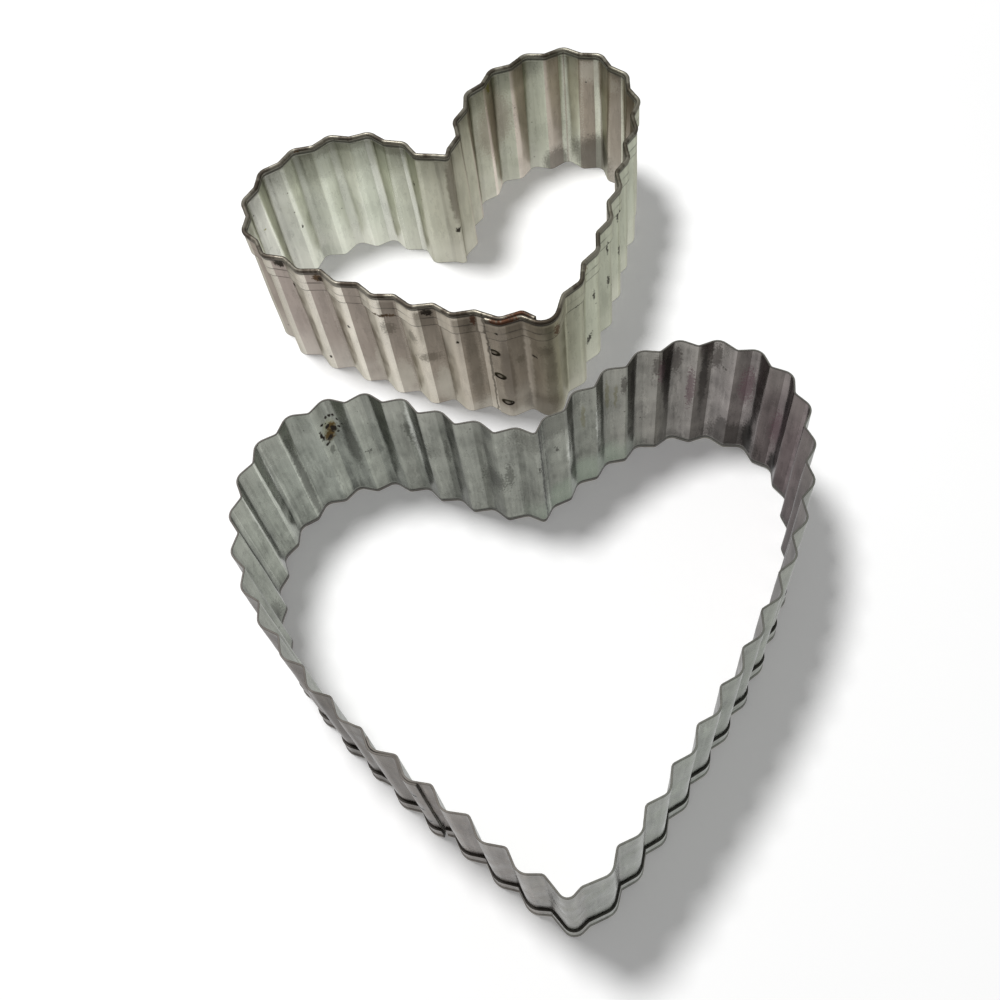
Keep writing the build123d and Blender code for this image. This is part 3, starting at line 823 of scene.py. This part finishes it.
def edge_grime_and_shade(add, at, height, hem, run_length):
    """Dust, and bare steel and soiling where the sheet is cut, rolled and folded, with a painted shade line
    in the crevice under the rolled rim and painted shadow in the gaps at the hem's edge and at the lapping
    end.
    """
    # Dark specks of dust, 0.2 to 0.5 mm across
    cells = add("ShaderNodeTexVoronoi", inputs={"Vector": at.strip, "Scale": 1 / SPECKS_APART}).node.outputs
    kept = add("ShaderNodeSeparateColor", cells["Color"])
    speck = add(MULTIPLY, add(RANGE, cells["Distance"], 0.05, 0.11, 1.0, 0.0, **SMOOTH),
                add(RANGE, kept, 0.86, 0.90, **SMOOTH))
    # At the hem's edge, soiling on the leaf's cut edge together with the painted shadow of the gap under it;
    # under the rolled rim, a painted shade line on both faces
    hem_edge_and_gap_shade = add(MULTIPLY, near(add, at.rise, height - hem, 0.05 * mm, 0.26 * mm), at.outside)
    painted_shade_under_rim = add(MULTIPLY, near(add, at.rise, height - 0.95 * mm, 0.1 * mm, 0.45 * mm), 0.85)
    crease = add(MULTIPLY, near(add, at.rise, height - 0.62 * hem, 0.04 * mm, 0.22 * mm), at.outside)
    crease = add(MULTIPLY, crease, add(RANGE, at.mottle, 0.40, 0.62, 0.15, 0.6, **SMOOTH))
    # At the lapping end, soiling on the cut edge together with the painted shadow of the gap beside it
    cut_end_and_gap_shade = add(RANGE, at.along, run_length - 0.20 * mm, run_length - 0.08 * mm, **SMOOTH)
    cut_end_and_gap_shade = add(MULTIPLY, cut_end_and_gap_shade, at.outside)
    sheared = add(MULTIPLY, add(RANGE, at.rise, 0.02 * mm, 0.16 * mm, 1.0, 0.0, **SMOOTH), 0.9)
    grime_and_shade = add(MULTIPLY, speck, 0.8)
    for dark_line in (hem_edge_and_gap_shade, painted_shade_under_rim, crease, cut_end_and_gap_shade, sheared):
        grime_and_shade = add(MAXIMUM, grime_and_shade, dark_line)
    return grime_and_shade


def stained_and_shaded(add, at, marks, colour, grime_and_shade):
    """The colour and the dullness with stains and painted shade marks on them: grit breaks up the edge of a
    mark and dulls it.
    """
    for code, strength, grit, spots in marks:
        reach = 0.0
        for spot in spots:
            reach = add(MAXIMUM, reach, blotch(add, at.ragged, *spot))
        grains = add(MULTIPLY_ADD, at.fine, 2.5 * grit, -1.25 * grit)
        mask = add(MULTIPLY_ADD, reach, 1 - 0.45 * grit, grains)
        mask = add(RANGE, mask, 0.12 + 0.24 * grit, 0.55 - 0.05 * grit, **SMOOTH)
        mask = add(MULTIPLY, mask, strength)
        colour = add(**MIX, inputs={SHARE: mask, FIRST: colour, SECOND: srgb(code)})
        grime_and_shade = add(MAXIMUM, grime_and_shade, add(MULTIPLY, mask, 0.75 * grit))
    return colour, grime_and_shade


def weld_dents(add, at, welds):
    """Round dents that the welding tips left: their depth, and a dark burnt ring round a bright middle."""
    dent = burnt = 0.0
    for spot in welds:
        span = blotch(add, at.strip, *spot)
        ring = add(MULTIPLY, add(RANGE, span, 0.02, 0.22, **SMOOTH),
                   add(RANGE, span, 0.45, 0.80, 1.0, 0.45, **SMOOTH))
        burnt = add(MAXIMUM, burnt, ring)
        dent = add(MAXIMUM, dent, add(RANGE, span, 0.0, 0.7, **SMOOTH))
    return dent, burnt


def worn_relief(add, at, dent):
    """Hand-worn surface: slow dents over a few millimetres, weld dents and a fine grain."""
    slow = add(MULTIPLY_ADD, dent, -1.2, grain(add, at.strip, 5.0, 9.0, 1.0, 0.4, 4.0))
    dents = add("ShaderNodeBump", inputs={"Height": slow, "Strength": 1.0, "Distance": DENT_DEPTH})
    close = add(MULTIPLY_ADD, at.fine, 0.25, at.mottle)
    return add("ShaderNodeBump", inputs={
        "Height": close, "Normal": dents, "Strength": 1.0, "Distance": GRAIN_DEPTH})


def tinplate(name, tints, marks, welds, strip, sizes):
    """Old tinplate: rolled steel dipped in tin, gone grey and dull, so it mirrors softly. Its colour also
    holds painted light and shade: on alternate facets, in the bends, inside the hem band, at the edge, under
    the rim, in the seams' gaps and in some marks.
    """
    height, hem = strip.height, sizes.hem
    material, shader, add = new_material(name)
    shader.inputs["Specular Tint"].default_value = sizes.sheen
    at = strip_readings(add)
    tint = tint_and_facet_shade(add, at, tints, sizes.tint_length)
    colour = add("ShaderNodeVectorMath SCALE", tint, inputs={
        "Scale": aged_tone_and_shade(add, at, height, hem, sizes.wear)})
    # The free edge is paler in soft patches: partly rubbed wear, partly a painted reflection of the bright
    # floor along the small cutter's foot, where this edge stands on the floor
    rubbed_and_floor_lit = add(MULTIPLY, add(RANGE, at.rise, 0.0, PALE_BAND, 1.0, 0.0, **SMOOTH),
                 add(RANGE, at.cloud, 0.25, 0.6, **SMOOTH))
    rubbed_and_floor_lit = add(MULTIPLY, rubbed_and_floor_lit, sizes.pale_edge)
    colour = add(**MIX, inputs={SHARE: rubbed_and_floor_lit, FIRST: colour, SECOND: srgb("#E2DFD4")})
    # The rim is handled most: brown patina lies on it in patches, with dull rubbed tin between
    crown = add(RANGE, at.rise, height - 0.70 * mm, height - 0.50 * mm, **SMOOTH)
    patina = add(RANGE, grain(add, at.ragged, 4.0, 40.0, 3.0, 0.6, 7.0), 0.48, 0.60, **SMOOTH)
    bead = add(**MIX, inputs={SHARE: patina, FIRST: srgb("#6C685E"), SECOND: srgb("#3C332A")})
    colour = add(**MIX, inputs={SHARE: add(MULTIPLY, crown, 0.9), FIRST: colour, SECOND: bead})
    grime_and_shade = add(MAXIMUM, edge_grime_and_shade(add, at, height, hem, sizes.tint_length),
                add(MULTIPLY, add(MULTIPLY, patina, crown), 0.35))
    colour, grime_and_shade = stained_and_shaded(add, at, marks, colour, grime_and_shade)
    dent, burnt = weld_dents(add, at, welds)
    # Grime darkens the colour, and so do the painted shade lines that share its mask
    colour = add(**MIX, inputs={SHARE: add(MULTIPLY, grime_and_shade, 0.85), FIRST: colour, SECOND: srgb("#2A2620")})
    colour = add(**MIX, inputs={SHARE: burnt, FIRST: colour, SECOND: srgb("#16120D")})
    # Grime is no metal and dull, and so are the painted shade lines that share its mask; the handled rim is a
    # little duller than the wall
    rough = add(RANGE, at.mottle, 0.3, 0.7, 0.18 + sizes.dull, 0.30 + sizes.dull, **SMOOTH)
    rough = add(MULTIPLY_ADD, crown, 0.08, add(MULTIPLY_ADD, grime_and_shade, 0.35, rough))
    connect(shader, {"Base Color": colour, "Metallic": add(MULTIPLY_ADD, grime_and_shade, -0.7, 1.0),
                     "Roughness": rough, "Normal": worn_relief(add, at, dent)})
    return material


def fused_steel():
    """Steel melted by the welding current and left bare: dark blue-grey, dull and pitted."""
    material, shader, add = new_material("Fused steel of the spot welds")
    shader.inputs["Metallic"].default_value = 1.0
    pits = add("ShaderNodeTexNoise", out="Fac", inputs={
        "Vector": add("ShaderNodeTexCoord", out="Object"), "Scale": 1 / PITS_APART, "Detail": 3.0})
    burnt = add("ShaderNodeValToRGB", pits, stops=((0.35, "#4A4742"), (0.65, "#6F6C68")))
    dull = add(RANGE, pits, inputs={"To Min": 0.35, "To Max": 0.65})
    rough = add("ShaderNodeBump", inputs={"Height": pits, "Strength": 1.0, "Distance": PIT_DEPTH})
    connect(shader, {"Base Color": burnt, "Roughness": dull, "Normal": rough})
    return material


def weld_nuggets(name, band, spots, node, body):
    """Lens-shaped nuggets of fused steel between the lapped layers, under the dents of the band."""
    strips = band.data.attributes["strip"].data
    sizes = bpy.context.scene.heart_cutters.strip
    joined = bmesh.new()
    for along, rise, _, _, face in spots:
        goal = Vector((along * mm, rise * mm, face))
        nearest = min(range(len(strips)), key=lambda i: (Vector(strips[i].vector) - goal).length)
        vertex = band.data.vertices[nearest]
        turn = vertex.normal.to_track_quat("Z", "Y").to_matrix().to_4x4()
        centre = vertex.co - vertex.normal * (sizes.sheet + sizes.lap_gap)
        lens = Matrix.Translation(centre) @ turn @ Matrix.Diagonal((*NUGGET_RADII, 1.0))
        bmesh.ops.create_uvsphere(joined, u_segments=24, v_segments=12, radius=1.0, matrix=lens)
    mesh = bpy.data.meshes.new(name)
    for face in joined.faces:
        face.smooth = True
    joined.to_mesh(mesh)
    joined.free()
    mesh.materials.append(fused_steel())
    piece = new_object(name, mesh)
    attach(piece, body)
    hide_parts(node)


def strip_values(strip, sizes, turned_over, head_step):
    """What the node tree is given for one cutter, apart from its tinplate and the way its lap nests."""
    return {
        "Flute Reach": sizes.wave / 2, "Uneven": sizes.uneven, "Hem Stiffness": sizes.hem_stiffness,
        "Turned Over": turned_over, "Height": strip.height, "Flare Foot": strip.flare_foot,
        "Lap Foot Step": LAP_LEAN * strip.sheet + strip.lap_gap, "Lap Head Step": head_step,
        "Spacing": sizes.spacing, "Waver": sizes.waver, "Seed": sizes.seed,
    }


class CUTTERS_OT_large_band(bpy.types.Operator):
    """Build the large heart, upside down, with its hem on the table"""

    bl_idname = "cutters.large_band"
    bl_label = "Large cutter band"

    def execute(self, context):
        strip = context.scene.heart_cutters.strip
        sizes = context.scene.heart_cutters.large
        heart = LARGE_HEART
        values = strip_values(strip, sizes, True, LAP_LEAN * strip.sheet + strip.lap_gap)
        values["Tinplate"] = tinplate(
            "Aged tinplate, large cutter", LARGE_TINTS_AND_SHADES, LARGE_MARKS, LARGE_WELDS, strip, sizes)
        last = heart["covered_end"][0] - 2 * sizes.flutes
        lapped = range(last, last - heart["lapped_bends"], -1)
        values["Lap Way"] = way_out(heart, sizes, lapped)
        main = strip_run(heart, sizes, heart["hem_notch"], lapped[-1], heart["outer_end"], lapped)
        covered = strip_run(heart, sizes, heart["covered_end"], heart["hem_notch"][0], heart["hem_notch"], ())
        meshes = [
            bent_band("large", main, hemmed_section(strip, sizes.hem), values),
            bent_band("covered", covered, plain_section(strip), dict(values, Uneven=0.0, Waver=0.0)),
        ]
        finish_band("large_cutter_fluted_strip", meshes, "large_cutter_band", "large_cutter")
        return {"FINISHED"}


class CUTTERS_OT_small_band(bpy.types.Operator):
    """Build the small heart, standing with its rim up"""

    bl_idname = "cutters.small_band"
    bl_label = "Small cutter band"

    def execute(self, context):
        strip = context.scene.heart_cutters.strip
        sizes = context.scene.heart_cutters.small
        heart = SMALL_HEART
        values = strip_values(strip, sizes, False, LAP_LEAN * strip.bead + strip.lap_clearance)
        values["Tinplate"] = tinplate(
            "Aged tinplate, small cutter", SMALL_TINTS_AND_SHADES, SMALL_MARKS, SMALL_WELDS, strip, sizes)
        around = 2 * sizes.flutes
        lapped = range(around, around + heart["lapped_bends"])
        values["Lap Way"] = way_out(heart, sizes, lapped)
        rows = strip_run(heart, sizes, heart["covered_end"], lapped[-1], heart["outer_end"], lapped)
        mesh = bent_band("small", rows, hemmed_section(strip, sizes.hem), values)
        finish_band("small_cutter_fluted_strip", [mesh], "small_cutter_band", "small_cutter")
        return {"FINISHED"}


class CUTTERS_OT_spot_welds(bpy.types.Operator):
    """Give the spot welds inside both seams their fused steel"""

    bl_idname = "cutters.spot_welds"
    bl_label = "Spot welds"

    def execute(self, context):
        bands = bpy.data.objects
        weld_nuggets("large_cutter_weld_nuggets", bands["large_cutter_fluted_strip"], LARGE_WELDS,
                     "large_cutter_spot_welds", "large_cutter")
        weld_nuggets("small_cutter_weld_nuggets", bands["small_cutter_fluted_strip"], SMALL_WELDS,
                     "small_cutter_spot_welds", "small_cutter")
        return {"FINISHED"}


# Stage: where the card starts and ends turning white, what it glows with under the cutters, how
# bright the card and the room are in the tin, the gap under the cutters, and the camera's near end
CARD_NEAR, CARD_FAR = 130 * mm, 600 * mm
CARD_LIFT = 0.175
CARD_MIRRORED = 0.95
ROOM_MIRRORED = 0.7
FLOOR_HEIGHT = -0.02 * mm
CLIP_START = 5 * mm


def white_card(tint):
    """Matt white card: it looks evenly white, and the tin mirrors it a little darker."""
    material, _, add = new_material("White card floor")
    material.node_tree.nodes.clear()
    path = add("ShaderNodeLightPath").node.outputs
    # The card is lifted a little under the cutters, and more where it runs away from the lamp
    away = add("ShaderNodeVectorMath LENGTH", add("ShaderNodeTexCoord", out="Object"), out="Value")
    bright = add(RANGE, away, CARD_NEAR, CARD_FAR, CARD_LIFT, 1.0, **SMOOTH)
    diffuse = add("ShaderNodeBsdfDiffuse", tint)
    glow = add("ShaderNodeEmission", inputs={"Strength": add(MULTIPLY, path["Is Camera Ray"], bright)})
    seen = add("ShaderNodeAddShader", diffuse, glow)
    mirrored = add("ShaderNodeEmission", inputs={"Strength": CARD_MIRRORED})
    add("ShaderNodeOutputMaterial", add("ShaderNodeMixShader", path["Is Glossy Ray"], seen, mirrored))
    return material


def lay_floor(settings):
    """A large sheet of card just under the cutters."""
    half = settings.floor / 2
    corners = [(-half, -half, 0), (half, -half, 0), (half, half, 0), (-half, half, 0)]
    mesh = bpy.data.meshes.new("studio_floor")
    mesh.from_pydata(corners, [], [(0, 1, 2, 3)])
    mesh.materials.append(white_card(settings.card))
    floor = new_object("studio_floor", mesh)
    floor.location.z = FLOOR_HEIGHT


def even_light(strength):
    """Soft light from all sides: white behind the cutters, and a pale grey room in their mirrors."""
    world = bpy.data.worlds.new("Even studio light")
    world.use_nodes = True
    world.node_tree.nodes.clear()
    add = partial(add_node, world.node_tree)
    path = add("ShaderNodeLightPath").node.outputs
    light, white, grey = (add("ShaderNodeBackground", srgb("#FFFFFF"), level)
                          for level in (strength, 1.0, ROOM_MIRRORED))
    shine = add("ShaderNodeMixShader", path["Is Glossy Ray"], light, grey)
    add("ShaderNodeOutputWorld", add("ShaderNodeMixShader", path["Is Camera Ray"], shine, white))
    return world


def hang_lamp(settings):
    """A round lamp high up on the left, aimed at the middle of the floor."""
    lamp = bpy.data.lights.new("high_lamp", "AREA")
    lamp.energy = settings.key_power
    lamp.shape = "DISK"
    lamp.size = settings.key_size
    key = new_object("high_lamp", lamp)
    key.location = settings.key_place
    key.rotation_euler = Vector(settings.key_place).to_track_quat("Z", "Y").to_euler()


def set_camera(settings):
    """The camera where the photographer held it."""
    camera = bpy.data.cameras.new("camera")
    camera.sensor_width = 36.0
    camera.lens = settings.lens
    camera.clip_start = CLIP_START
    eye = new_object("camera", camera)
    turn = Matrix.Rotation(settings.eye_tilt, 4, "X") @ Matrix.Rotation(settings.eye_roll, 4, "Z")
    eye.matrix_world = Matrix.Translation(settings.eye_place) @ turn
    bpy.context.scene.camera = eye


class CUTTERS_OT_stage(bpy.types.Operator):
    """Lay the white floor, hang the lamp in even light and set the camera"""

    bl_idname = "cutters.stage"
    bl_label = "Stage"

    def execute(self, context):
        settings = context.scene.heart_cutters.stage
        context.scene.view_settings.view_transform = "Standard"
        context.scene.world = even_light(settings.sky)
        lay_floor(settings)
        hang_lamp(settings)
        set_camera(settings)
        return {"FINISHED"}


class CUTTERS_PT_panel(bpy.types.Panel):
    """Sizes and steps of the two cutters"""

    bl_idname = "CUTTERS_PT_panel"
    bl_label = "Heart cutters"
    bl_space_type = "VIEW_3D"
    bl_region_type = "UI"
    bl_category = "Cutters"

    def draw(self, context):
        settings = context.scene.heart_cutters
        for group in (settings.strip, settings.large, settings.small, settings.stage):
            box = self.layout.box()
            box.label(text=group.__doc__ or "")
            for key in group.__annotations__:
                box.prop(group, key)
        for operator in OPERATORS:
            self.layout.operator(operator.bl_idname)


GROUPS = (StripSizes, LargeCutterSizes, SmallCutterSizes, StageSizes, CutterSettings)
OPERATORS = (CUTTERS_OT_large_band, CUTTERS_OT_small_band, CUTTERS_OT_spot_welds, CUTTERS_OT_stage)


def register():
    for cls in GROUPS + OPERATORS + (CUTTERS_PT_panel,):
        bpy.utils.register_class(cls)
    bpy.types.Scene.heart_cutters = PointerProperty(type=CutterSettings)


def unregister():
    del bpy.types.Scene.heart_cutters
    for cls in (CUTTERS_PT_panel,) + OPERATORS[::-1] + GROUPS[::-1]:
        bpy.utils.unregister_class(cls)


def main():
    """Dresses the two cutters, gives their welds fused steel and sets the stage."""
    register()
    bpy.ops.cutters.large_band()
    bpy.ops.cutters.small_band()
    bpy.ops.cutters.spot_welds()
    bpy.ops.cutters.stage()
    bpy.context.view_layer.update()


if __name__ == "__main__":
    main()
